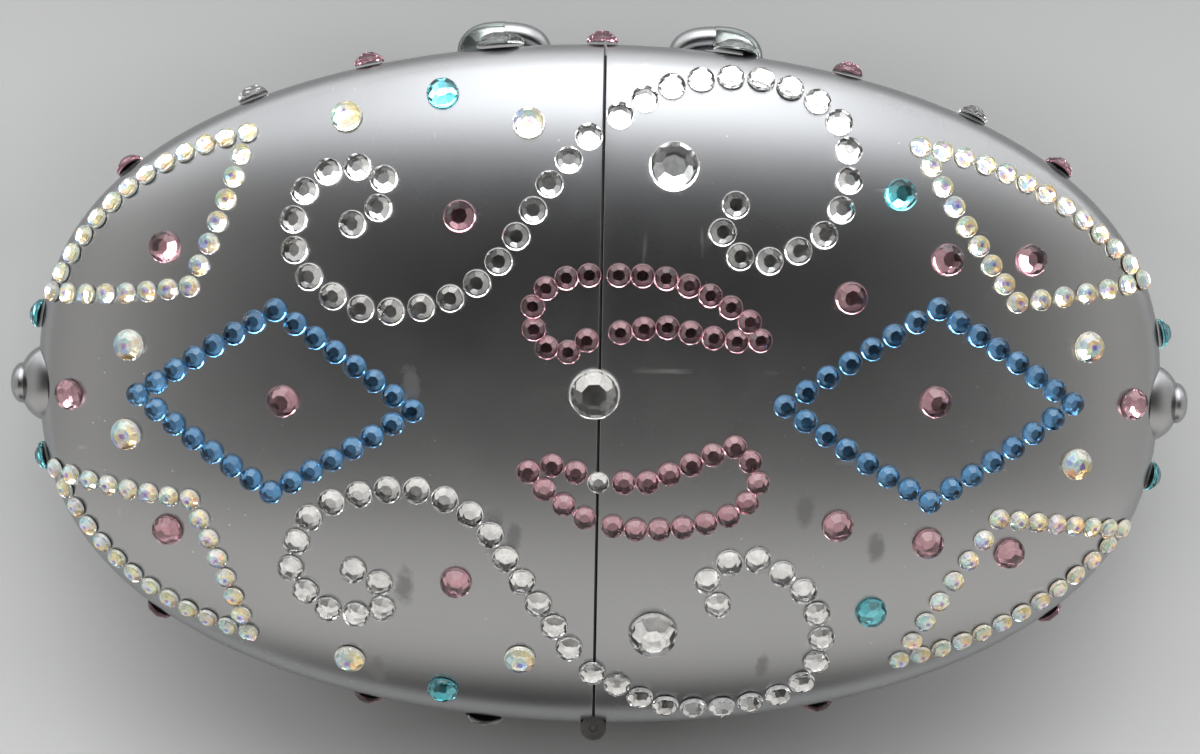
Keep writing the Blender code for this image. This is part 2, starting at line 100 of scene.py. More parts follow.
class Nodes:
    """A small builder for one node material."""

    def __init__(self, name):
        self.material = bpy.data.materials.new(name)
        self.material.use_nodes = True
        self.tree = self.material.node_tree
        self.shader = self.tree.nodes["Principled BSDF"]
        self.coords = self.tree.nodes.new("ShaderNodeTexCoord")

    def add(self, kind, inputs=(), **props):
        """Make a node; an input is either a value or another node's output."""
        node = self.tree.nodes.new(kind)
        for key, value in props.items():
            setattr(node, key, value)
        for key, value in dict(inputs).items():
            if isinstance(value, bpy.types.NodeSocket):
                self.tree.links.new(value, node.inputs[key])
            else:
                node.inputs[key].default_value = value
        return node

    def link(self, output, key):
        self.tree.links.new(output, self.shader.inputs[key])

    def set(self, key, value):
        self.shader.inputs[key].default_value = value

    def noise(self, scale, detail=4.0, rough=0.5, vector=None):
        vector = vector or self.coords.outputs["Object"]
        made = self.add("ShaderNodeTexNoise", {"Vector": vector, "Scale": scale, "Detail": detail})
        made.inputs["Roughness"].default_value = rough
        return made.outputs["Fac"]

    def stretch(self, scale, rotation=(0, 0, 0)):
        """The object's own coordinates, scaled and turned."""
        made = self.add("ShaderNodeMapping", {"Vector": self.coords.outputs["Object"]})
        made.inputs["Scale"].default_value = scale
        made.inputs["Rotation"].default_value = rotation
        return made.outputs["Vector"]

    def ramp(self, value, stops):
        """A colour that follows a value through a few stops."""
        made = self.add("ShaderNodeValToRGB", {"Fac": value})
        elements = made.color_ramp.elements
        while len(elements) < len(stops):
            elements.new(0.5)
        for element, (spot, colour) in zip(elements, stops):
            element.position = spot
            element.color = (*colour, 1.0)
        return made.outputs["Color"]

    def spread(self, value, low, high, to_low=0.0, to_high=1.0):
        """A value taken from one range to another, and held at its ends."""
        made = self.add("ShaderNodeMapRange", {"Value": value, "From Min": low, "From Max": high})
        made.inputs["To Min"].default_value = to_low
        made.inputs["To Max"].default_value = to_high
        return made.outputs["Result"]

    def math(self, operation, one, two):
        return self.add("ShaderNodeMath", {0: one, 1: two}, operation=operation).outputs[0]

    def vector(self, operation, one, two):
        return self.add("ShaderNodeVectorMath", {0: one, 1: two}, operation=operation).outputs[0]

    def length(self, vector):
        made = self.add("ShaderNodeVectorMath", {0: vector}, operation="LENGTH")
        return made.outputs["Value"]

    def mix(self, factor, one, two, blend="MIX"):
        made = self.add("ShaderNodeMix", data_type="RGBA", blend_type=blend)
        # inputs 0, 6 and 7 are the factor and the two colours
        for key, value in ((0, factor), (6, one), (7, two)):
            if isinstance(value, bpy.types.NodeSocket):
                self.tree.links.new(value, made.inputs[key])
            else:
                made.inputs[key].default_value = (*value, 1.0) if key else value
        return made.outputs[2]

    def bump(self, height, strength, distance, before=None):
        made = self.add("ShaderNodeBump", {"Height": height, "Strength": strength, "Distance": distance})
        if before:
            self.tree.links.new(before, made.inputs["Normal"])
        return made.outputs["Normal"]


# Materials


def satin_silver(name, smudged=True):
    """Satin plating with fine scratches and dust, and smears of old glue where it is smudged."""
    n = Nodes(name)
    n.set("Metallic", 1.0)
    cloud = n.noise(14.0, 5.0, 0.6)
    fine = n.noise(900.0, 3.0, 0.6)
    colour = n.ramp(cloud, [(0.3, (0.33, 0.333, 0.34)), (0.7, (0.365, 0.368, 0.375))])
    rough = n.spread(cloud, 0.3, 0.7, 0.24, 0.30)
    # hairline scratches in two directions
    lines = n.noise(260.0, 2.0, 0.5, n.stretch((1.0, 0.03, 1.0), (0, 0, 0.5)))
    lines_2 = n.noise(300.0, 2.0, 0.5, n.stretch((0.03, 1.0, 1.0), (0, 0, 0.3)))
    scratch = n.math("MAXIMUM", n.spread(lines, 0.71, 0.76), n.spread(lines_2, 0.72, 0.77))
    where = n.spread(n.noise(75.0, 2.0), 0.5, 0.66)
    scratch = n.math("MULTIPLY", scratch, where)
    colour = n.mix(n.math("MULTIPLY", scratch, 0.28), colour, (0.82, 0.82, 0.82))
    rough = n.math("ADD", rough, n.math("MULTIPLY", scratch, 0.1))
    # specks of dust
    dots = n.add("ShaderNodeTexVoronoi", {"Vector": n.coords.outputs["Object"], "Scale": 330.0})
    dust = n.spread(dots.outputs["Distance"], 0.075, 0.055)
    dust = n.math("MULTIPLY", dust, n.spread(n.noise(60.0), 0.52, 0.6))
    colour = n.mix(n.math("MULTIPLY", dust, 0.45), colour, (0.8, 0.8, 0.78))
    if smudged:
        # dull smears of old glue and handling
        for x, y, size in SMEARS:
            shifted = n.vector("SUBTRACT", n.coords.outputs["Object"], on_face(x * MM, y * MM))
            away = n.length(n.vector("MULTIPLY", shifted, (1.6, 0.8, 1.0)))
            uneven = size * 0.8 * MM
            wander = n.spread(n.noise(420.0, 4.0, 0.7), 0.0, 1.0, -uneven, uneven)
            ragged = n.math("ADD", away, wander)
            smear = n.spread(ragged, size * MM * 1.05, size * MM * 0.5, 0.0, 0.6)
            colour = n.mix(smear, colour, (0.20, 0.20, 0.20))
            rough = n.math("ADD", rough, n.math("MULTIPLY", smear, 0.3))
    n.link(colour, "Base Color")
    n.link(rough, "Roughness")
    n.link(n.bump(fine, 0.05, 0.00005, n.bump(scratch, 0.1, 0.00004)), "Normal")
    return n.material


def chrome(name, tint=(0.8, 0.81, 0.82), low=0.05, high=0.12):
    """Polished plating; low and high are the ends of its roughness."""
    n = Nodes(name)
    n.set("Metallic", 1.0)
    cloud = n.noise(90.0, 4.0, 0.6)
    darker = tuple(c * 0.86 for c in tint)
    n.link(n.ramp(cloud, [(0.35, darker), (0.65, tint)]), "Base Color")
    n.link(n.spread(cloud, 0.3, 0.7, low, high), "Roughness")
    n.link(n.bump(n.noise(1400.0, 2.0), 0.04, 0.00004), "Normal")
    return n.material


def worn_steel(name):
    """The hinge's dark steel, with fine streaks along its length."""
    n = Nodes(name)
    n.set("Metallic", 1.0)
    cloud = n.noise(160.0, 5.0, 0.65)
    turned = n.noise(700.0, 2.0, 0.5, n.stretch((1.0, 1.0, 0.06)))
    n.link(n.ramp(cloud, [(0.3, (0.07, 0.068, 0.064)), (0.7, (0.15, 0.147, 0.14))]), "Base Color")
    n.link(n.spread(turned, 0.3, 0.7, 0.22, 0.42), "Roughness")
    n.link(n.bump(turned, 0.15, 0.00005), "Normal")
    return n.material


def magnet_black(name):
    n = Nodes(name)
    cloud = n.noise(300.0, 4.0, 0.6)
    n.set("Metallic", 0.6)
    n.link(n.ramp(cloud, [(0.3, (0.03, 0.03, 0.034)), (0.7, (0.075, 0.075, 0.08))]), "Base Color")
    n.link(n.spread(cloud, 0.3, 0.7, 0.3, 0.5), "Roughness")
    n.link(n.bump(n.noise(1500.0), 0.15, 0.00005), "Normal")
    return n.material


def dark_edge(name):
    """Near-black metal inside the seam, where the bright plating stops: painted shade that makes the seam a
    dark line.
    """
    n = Nodes(name)
    cloud = n.noise(200.0, 5.0, 0.6)
    n.set("Metallic", 0.5)
    n.link(n.ramp(cloud, [(0.3, (0.008, 0.008, 0.009)), (0.7, (0.03, 0.03, 0.032))]), "Base Color")
    n.link(n.spread(cloud, 0.3, 0.7, 0.5, 0.75), "Roughness")
    n.link(n.bump(n.noise(900.0), 0.2, 0.00005), "Normal")
    return n.material


def lining_satin(name):
    """Grey woven satin inside the halves."""
    n = Nodes(name)
    turned = n.stretch((1.0, 1.0, 1.0), (0.3, 0.2, 0.8))
    weave = n.add("ShaderNodeTexWave", {"Vector": turned, "Scale": 700.0})
    cloud = n.noise(40.0, 4.0)
    n.link(n.ramp(cloud, [(0.3, (0.12, 0.116, 0.114)), (0.7, (0.165, 0.16, 0.156))]), "Base Color")
    n.link(n.spread(weave.outputs["Fac"], 0.0, 1.0, 0.42, 0.6), "Roughness")
    n.set("Sheen Weight", 0.15)
    n.set("Sheen Roughness", 0.4)
    n.link(n.bump(weave.outputs["Fac"], 0.25, 0.00006), "Normal")
    return n.material


def stone_glass(name, stops, pearl=0.0):
    """Cut glass: each facet's own tint and painted brightness are stored with the mesh, and the foil under it
    does the mirroring.
    """
    n = Nodes(name)
    facet = n.add("ShaderNodeAttribute", attribute_name="facet")
    parts = n.add("ShaderNodeSeparateColor", {"Color": facet.outputs["Color"]})
    tint = n.ramp(parts.outputs[0], stops)
    # random darkening of single facets: painted sparkle, as if each facet mirrored something different
    shade = n.ramp(parts.outputs[1], [(0.0, (0.62, 0.62, 0.62)), (1.0, (1.0, 1.0, 1.0))])
    haze = n.noise(420.0, 3.0)
    n.link(n.mix(1.0, tint, shade, "MULTIPLY"), "Base Color")
    n.set("Transmission Weight", 1.0 - pearl)
    n.set("IOR", 1.5)
    n.link(n.spread(haze, 0.35, 0.8, 0.0, 0.09), "Roughness")
    n.link(n.bump(n.noise(900.0, 2.0), 0.02, 0.00004), "Normal")
    return n.material


def stone_foil(name, tint):
    """The silvered back of a stone, with the faint mottling of its foil."""
    n = Nodes(name)
    n.set("Metallic", 1.0)
    darker = tuple(c * 0.8 for c in tint)
    n.link(n.ramp(n.noise(700.0, 3.0), [(0.35, darker), (0.65, tint)]), "Base Color")
    n.link(n.spread(n.noise(300.0, 3.0), 0.3, 0.7, 0.03, 0.14), "Roughness")
    return n.material


def table_top(name):
    """The pale floor, which the metal also mirrors, with a painted shadow round the case and painted light
    towards the window.
    """
    n = Nodes(name)
    cloud = n.noise(3.0, 4.0)
    # this darker colour stays round the case as a painted shadow
    near = n.ramp(cloud, [(0.3, (0.080, 0.081, 0.081)), (0.7, (0.086, 0.087, 0.087))])
    # the floor is painted darker just round the case, a painted shadow, and painted palest towards the
    # window, a painted pool of light
    place = n.add("ShaderNodeSeparateXYZ", {"Vector": n.coords.outputs["Object"]})
    along = place.outputs["Y"]
    away = n.length(n.vector("MULTIPLY", n.coords.outputs["Object"], (1.0, 0.6, 0.0)))
    # the mask lifts the floor out of its painted shadow away from the case, most on the near side
    out_of_painted_shadow = n.math("MULTIPLY", n.spread(away, 0.04, 0.12, 0.0, 0.9), n.spread(along, 0.09, -0.05))
    colour = n.mix(out_of_painted_shadow, near, (0.135, 0.136, 0.136))
    # painted light: a strip beyond the +Y edge is painted much paler, a painted pool of light that the metal
    # mirrors
    bright = n.math("MULTIPLY", n.spread(along, 0.085, 0.15), n.spread(along, 0.8, 0.45))
    n.link(n.mix(bright, colour, (0.27, 0.27, 0.27)), "Base Color")
    n.set("Roughness", 0.7)
    n.link(n.bump(n.noise(1200.0, 3.0), 0.08, 0.0001), "Normal")
    return n.material


# How bright the room is, by how far a direction leans one way
WINDOW = [(0.0, 0.0), (0.2, 0.0), (0.31, 0.1), (0.41, 0.42), (0.51, 1.2), (0.63, 2.6), (0.78, 3.7),
          (1.0, 3.7)]
WINDOW_SIDES = [(0.0, 1.0), (0.2, 0.85), (0.35, 0.5), (0.6, 0.34), (1.0, 0.28)]
WALL_LIGHT = [(0.0, 0.008), (0.1, 0.015), (0.17, 0.035), (0.24, 0.11), (0.3, 0.32), (0.38, 0.72),
              (0.48, 0.93), (0.62, 0.97), (0.76, 0.95), (0.87, 0.62), (0.94, 0.2), (1.0, 0.03)]
SIDE_LIGHT = [(0.0, 0.012), (0.2, 0.035), (0.3, 0.08), (0.4, 0.16), (0.5, 0.29), (0.62, 0.5), (0.8, 0.7),
              (1.0, 0.6)]
# The room's middle leans a little to +X; the window's light is cool and the walls' is warm
ROOM_MIDDLE = 0.03
COOL = (0.985, 1.0, 1.02)
WARM = (1.02, 1.0, 0.965)

# x, y and reach in millimetres of the smears on the face
SMEARS = [(40.0, -19.0, 3.2), (54.0, -27.0, 3.0), (-20.0, -24.0, 3.6), (-37.0, -36.0, 3.4),
          (-43.0, -55.0, 3.2), (-36.0, 4.0, 3.0), (-16.0, -25.0, 2.6), (33.0, -52.0, 2.4)]

# Tints of the stones, along each material's own range
CLEAR = [(0.0, (0.90, 0.90, 0.90)), (0.5, (0.97, 0.97, 0.96)), (1.0, (1.0, 0.99, 0.97))]
# the next two are darker copies of the rose and clear tints, painted shade for the stones round the rim
ROSE_RIM_SHADED = [(0.0, (0.25, 0.10, 0.14)), (0.5, (0.42, 0.19, 0.24)), (1.0, (0.62, 0.36, 0.40))]
CLEAR_RIM_SHADED = [(0.0, (0.40, 0.40, 0.40)), (0.5, (0.56, 0.56, 0.55)), (1.0, (0.74, 0.74, 0.72))]
ROSE = [(0.0, (0.44, 0.20, 0.25)), (0.5, (0.60, 0.33, 0.38)), (1.0, (0.78, 0.54, 0.58))]
BLUE = [(0.0, (0.05, 0.21, 0.46)), (0.5, (0.12, 0.36, 0.68)), (1.0, (0.30, 0.58, 0.90))]
AQUA = [(0.0, (0.06, 0.38, 0.44)), (0.5, (0.14, 0.60, 0.68)), (1.0, (0.40, 0.84, 0.88))]
AURORA = [(0.0, (0.16, 0.12, 0.48)), (0.12, (0.34, 0.18, 0.48)), (0.22, (0.80, 0.37, 0.28)),
          (0.36, (0.82, 0.57, 0.24)), (0.50, (0.75, 0.69, 0.36)), (0.62, (0.62, 0.62, 0.61)),
          (0.76, (0.38, 0.66, 0.57)), (0.88, (0.40, 0.52, 0.80)), (1.0, (0.66, 0.44, 0.70))]


# Stones


def line_through(corners, parts=24):
    """A smooth line through a few points in plan, given in millimetres."""
    spots = [Vector((x * MM, y * MM)) for x, y in corners]
    count = len(spots)
    line = []
    for leg in range(count - 1):
        before = spots[leg - 1] if leg > 0 else spots[0] * 2 - spots[1]
        start, end = spots[leg], spots[leg + 1]
        after = spots[leg + 2] if leg + 2 < count else end * 2 - start
        bend = 2 * before - 5 * start + 4 * end - after
        twist = 3 * start - before - 3 * end + after
        for part in range(parts):
            t = part / parts
            line.append(0.5 * (2 * start + (end - before) * t + bend * t * t + twist * t**3))
    line.append(spots[-1])
    return line


def bowed_side(start, end, bow, middle, parts=24):
    """One side of an outline in plan, bowed away from its middle by a height in millimetres."""
    start, end, middle = (Vector(spot) * MM for spot in (start, end, middle))
    side = (end - start).normalized()
    out = Vector((side.y, -side.x))
    if out.dot((start + end) / 2 - middle) < 0:
        out = -out
    line = []
    for part in range(parts + 1):
        t = part / parts
        line.append(start.lerp(end, t) + out * bow * MM * 4 * t * (1 - t))
    return line


def even_places(line, count, ends=True):
    """Places at even steps along a line on the face; without ends, the last is left for the next line."""
    path = [on_face(spot.x, spot.y) for spot in line]
    lengths = [0.0]
    for one, two in zip(path, path[1:]):
        lengths.append(lengths[-1] + (two - one).length)
    places = []
    at = 0
    for step in range(count):
        want = lengths[-1] * step / (count - 1 if ends else count)
        while at < len(path) - 2 and lengths[at + 1] < want:
            at += 1
        span = lengths[at + 1] - lengths[at]
        places.append(path[at].lerp(path[at + 1], (want - lengths[at]) / span))
    return places


# A stone's outline, as shares of its size: how far from its axis, and how high above its back
FOOT = (0.478, 0.0)
BELLY = (0.5, 0.05)
SHOULDER = (0.492, 0.10)
LIP_REACH = 0.462
TABLE_REACH = 0.26
TABLE_HEIGHT = 0.365
# The eight main facets fall from the middle of the table's sides, at this slope
FACET_START = 0.24
FACET_SLOPE = 0.90
STONE_STEPS = 24


class Stones:
    """A set of flat-backed faceted stones collected into one piece."""

    def __init__(self, name, seed):
        self.name = name
        self.bm = bmesh.new()
        self.layer = self.bm.faces.layers.float_vector.new("shade")
        self.random = random.Random(seed)

    def face(self, verts, hue, light, foil=0):
        """One facet, with its own place in the material's range of tints and its own painted brightness."""
        made = self.bm.faces.new(verts)
        made[self.layer] = (min(max(hue, 0.0), 1.0), min(max(light, 0.0), 1.0), 0.0)
        made.material_index = foil

    def put(self, point, size, lift=0.1 * MM, hue=0.5, spread=0.25, tilt=0.03, aurora=False, flat=1.0):
        """Seat one stone at a point of the surface; hue is where its colour lies in the material's range."""
        rnd = self.random
        point = Vector(point)
        normal = (outward(point) + Vector([rnd.uniform(-tilt, tilt) for _ in range(3)])).normalized()
        turn = Matrix.Rotation(rnd.uniform(0, math.tau), 3, normal) @ normal.orthogonal().normalized()
        other = normal.cross(turn)
        base = point + normal * lift
        steps = STONE_STEPS

        def at(angle, reach, height):
            way = turn * math.cos(angle) + other * math.sin(angle)
            return self.bm.verts.new(base + way * size * reach + normal * height * size * flat)

        def ring(reach, height):
            return [at(math.tau * step / steps, reach, height) for step in range(steps)]

        foot = ring(*FOOT)
        belly = ring(*BELLY)
        shoulder = ring(*SHOULDER)
        # the main facets cut the girdle in scallops
        lip = []
        for step in range(steps):
            angle = math.tau * step / steps
            off = abs((angle / (math.tau / 8)) % 1.0 - 0.5) * math.tau / 8
            fall = (LIP_REACH * math.cos(off) - FACET_START) * FACET_SLOPE
            lip.append(at(angle, LIP_REACH, TABLE_HEIGHT - fall))
        top = [at(math.tau * k / 8, TABLE_REACH, TABLE_HEIGHT) for k in range(8)]
        girdle = 0.6 if aurora else hue
        for step in range(steps):
            after = (step + 1) % steps
            # the foot band is painted a little darker than the rest of the girdle: painted shade at the
            # stone's base
            self.face((foot[step], foot[after], belly[after], belly[step]), girdle, 0.8)
            self.face((belly[step], belly[after], shoulder[after], shoulder[step]), girdle, 1.0)
            self.face((shoulder[step], shoulder[after], lip[after], lip[step]), girdle, 1.0)
        for k in range(8):
            start = k * 3
            rim = [lip[start % steps], lip[start + 1], lip[start + 2], lip[(start + 3) % steps]]
            tone = hue + rnd.uniform(-spread, spread)
            if aurora:
                angle = math.tau * (k + 0.5) / 8
                way = turn * math.cos(angle) + other * math.sin(angle)
                # the coating's colour goes round with the direction that a facet faces
                share = math.atan2(way.y, way.x) / math.tau + 0.12 + hue * 0.3 + rnd.uniform(-0.09, 0.09)
                tone = 0.24 + 0.7 * (share % 1.0)
            # each crown facet gets a random painted brightness: painted sparkle
            self.face((top[k], *rim, top[(k + 1) % 8]), tone, rnd.uniform(0.3, 1.0))
        if aurora:
            # the coating throws a small violet patch off the middle of the table
            shift = Vector((rnd.uniform(-0.03, 0.05), rnd.uniform(-0.03, 0.05), 0.0))
            shift -= normal * shift.dot(normal)
            patch = []
            for k in range(4):
                angle = math.tau * (k + rnd.uniform(-0.1, 0.1)) / 4
                corner = at(angle, rnd.uniform(0.10, 0.15), TABLE_HEIGHT)
                corner.co += shift * size
                patch.append(corner)
            for k in range(4):
                tone = rnd.uniform(0.3, 1.0)
                self.face((top[2 * k], top[2 * k + 1], patch[k]), tone, 0.9)
                self.face((top[2 * k + 1], top[(2 * k + 2) % 8], patch[(k + 1) % 4], patch[k]), tone, 0.9)
            self.face(patch, rnd.uniform(0.0, 0.14), 0.9)
        else:
            # the table gets a random painted brightness too: painted sparkle
            self.face(top, hue + rnd.uniform(-spread, spread) * 0.5, rnd.uniform(0.6, 1.0))
        self.face(foot[::-1], hue, 1.0, 1)

    def done(self, look, body, slot, *nodes):
        """Turn the set into one object that rides a body and replaces the CAD nodes named."""
        mesh = bpy.data.meshes.new(self.name)
        shades = [tuple(face[self.layer]) for face in self.bm.faces]
        bmesh.ops.recalc_face_normals(self.bm, faces=self.bm.faces)
        self.bm.to_mesh(mesh)
        self.bm.free()
        colours = mesh.color_attributes.new("facet", "FLOAT_COLOR", "CORNER")
        for face, (hue, light, _) in zip(mesh.polygons, shades):
            for loop in face.loop_indices:
                colours.data[loop].color = (hue, light, 0.0, 1.0)
        for material in look:
            mesh.materials.append(material)
        obj = bpy.data.objects.new(self.name, mesh)
        bpy.context.scene.collection.objects.link(obj)
        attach(obj, body)
        if nodes:
            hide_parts(*nodes)


# Patterns on the face, in millimetres from the seam and the middle line.
# A triangle has its corners, how far each side bows out, and the stones on each side.
TRIANGLES = {
    "upper_left": ([(-68.0, 50.4), (-106.7, 18.4), (-78.6, 21.5)], (6.2, 0.6, 0.8), (12, 7, 7)),
    "upper_right": ([(60.2, 50.3), (105.2, 24.4), (79.6, 21.2)], (4.6, 0.3, 0.6), (12, 6, 8)),
    "lower_left": ([(-68.4, -47.9), (-106.8, -16.7), (-79.0, -20.2)], (6.0, -0.5, 0.6), (12, 7, 7)),
    "lower_right": ([(60.2, -51.1), (103.8, -25.0), (78.0, -21.3)], (4.2, 0.2, 0.6), (12, 7, 7)),
}
DIAMONDS = {
    "left": [(-89.1, 0.0), (-61.9, 17.7), (-35.5, -0.8), (-63.0, -17.9)],
    "right": [(35.4, 1.4), (64.3, 20.1), (91.5, 1.3), (64.2, -17.5)],
}
DIAMOND_BOW = 0.4
DIAMOND_COUNT = 7
# Leaves and scrolls have the points of their line and the number of stones along it.
LEAVES = {
    "upper_left": ([(-2.5, 13.6), (-4.6, 11.8), (-8.6, 11.2), (-12.2, 14.6), (-12.9, 19.5), (-10.6, 23.1),
                    (-6.8, 25.2), (-2.3, 25.9)], 8),
    "upper_right": ([(3.3, 26.0), (11.8, 25.6), (20.2, 22.6), (27.7, 18.0), (30.2, 13.9), (21.4, 14.4),
                     (12.2, 16.3), (3.8, 15.2)], 14),
    "lower_left": ([(-4.2, -12.0), (-8.4, -10.7), (-13.3, -12.2), (-10.0, -15.7), (-6.2, -18.6),
                    (-2.4, -21.0)], 6),
    "lower_right": ([(5.0, -13.9), (9.7, -13.7), (18.0, -10.1), (26.4, -6.6), (29.4, -10.1), (30.7, -14.3),
                     (28.3, -18.1), (24.2, -20.7), (15.8, -22.8), (7.0, -23.2), (3.0, -22.6)], 15),
}
SCROLLS = {
    "upper_left": ([(-47.2, 34.4), (-41.8, 38.2), (-41.7, 43.5), (-47.3, 45.0), (-52.6, 43.6), (-57.2, 39.0),
                    (-58.6, 31.0), (-54.7, 23.6), (-45.1, 18.5), (-33.2, 19.3), (-22.7, 24.5), (-15.6, 33.7),
                    (-9.4, 43.6), (-2.8, 51.5)], 21),
    "upper_right": ([(3.0, 55.4), (11.6, 60.4), (22.7, 62.4), (33.7, 61.2), (44.1, 55.3), (46.6, 44.6),
                     (42.5, 34.5), (32.3, 29.2), (26.3, 29.7), (22.7, 34.4), (25.1, 39.4)], 18),
    "lower_left": ([(-47.1, -33.0), (-41.8, -35.8), (-41.8, -41.2), (-47.2, -42.3), (-52.8, -41.1),
                    (-57.0, -37.2), (-59.3, -32.0), (-54.8, -21.8), (-44.4, -17.2), (-33.3, -16.6),
                    (-23.0, -21.9), (-16.6, -31.0), (-10.0, -40.5), (-5.0, -48.2)], 21),
    "lower_right": ([(4.5, -56.2), (9.1, -59.2), (14.4, -61.2), (25.2, -61.5), (36.7, -58.6), (41.9, -54.4),
                     (44.3, -47.6), (43.3, -40.8), (40.3, -35.5), (31.9, -29.4), (26.1, -29.5), (21.5, -33.7),
                     (23.7, -38.5)], 17),
}
# Sizes of the stones in each pattern
TRIANGLE_STONE = 4.15 * MM
DIAMOND_STONE = 4.5 * MM
LEAF_STONE = 4.6 * MM
SCROLL_STONE = 5.35 * MM
SINGLE_STONE = 6.2 * MM
# Single stones: x and y in millimetres on the face
AQUA_SPOTS = [(-30.7, 58.7), (-29.9, -58.6), (56.5, 41.5), (53.8, -40.2)]
AB_SPOTS = [(-48.9, 54.0), (-14.2, 53.8), (-48.2, -52.3), (-14.6, -50.8), (-90.6, 9.6), (-91.5, -8.0),
            (94.1, 12.3), (92.9, -10.7)]
ROSE_SPOTS = [(-83.6, 28.7), (-83.7, -26.8), (82.1, 29.2), (80.5, -28.4), (65.8, 29.4), (64.2, -25.9),
              (-60.5, 0.2), (64.4, 2.2), (-26.9, 36.4), (-27.1, -34.8), (47.4, 22.2), (46.4, -22.2),
              (-103.2, -1.1), (104.1, 0.6)]
# Large stones and the two over the seam: x, y and size in millimetres
LARGE_SPOTS = {"centre": (-0.9, 3.4, 9.8), "upper": (13.3, 46.3, 9.6), "lower": (11.3, -44.7, 9.6)}
SEAM_SPOTS = [(0.1, -13.9, 4.2), (-0.4, -53.6, 5.3)]
# Stones round the rim: x in millimetres from the seam, colour and size
RIM_TOP = [(-92.0, "rose", 5.8), (-68.0, "clear", 6.0), (-45.6, "rose", 5.9), (-20.4, "clear", 9.4),
           (25.2, "clear", 8.8), (46.9, "rose", 6.0), (71.3, "clear", 6.0), (88.4, "rose", 5.9)]
RIM_BOTTOM = [(-87.2, "rose", 6.0), (-45.5, "rose", 6.2), (-22.0, "clear", 8.4), (45.2, "rose", 6.2),
              (90.6, "rose", 6.0)]
RIM_TUCKED = [(-66.0, "clear", 6.2), (22.4, "clear", 8.4), (67.0, "clear", 6.2)]
RIM_OVER_SEAM = (-0.6, 6.1)
# Each row's side and its height from the body's middle in millimetres
RIM_TOP_Z = -1.8
RIM_ROWS = ((1, RIM_TOP, RIM_TOP_Z), (-1, RIM_BOTTOM, -2.0), (-1, RIM_TUCKED, -6.5))
# Stones at the two ends: side, y in millimetres, colour and size
RIM_ENDS = [(-1, 13.3, "aqua", 5.8), (-1, -15.0, "aqua", 5.8), (1, 13.3, "aqua", 5.8),
            (1, -15.2, "aqua", 5.8)]
RIM_ENDS_Z = -0.6
RIM_LIFT = 0.3 * MM
# Rim stones over this size in millimetres are cut flatter
RIM_LARGE = 8
RIM_LARGE_FLAT = 0.74


def half_of(x):
    """The half that a place belongs to."""
    return LEFT if x < 0 else RIGHT


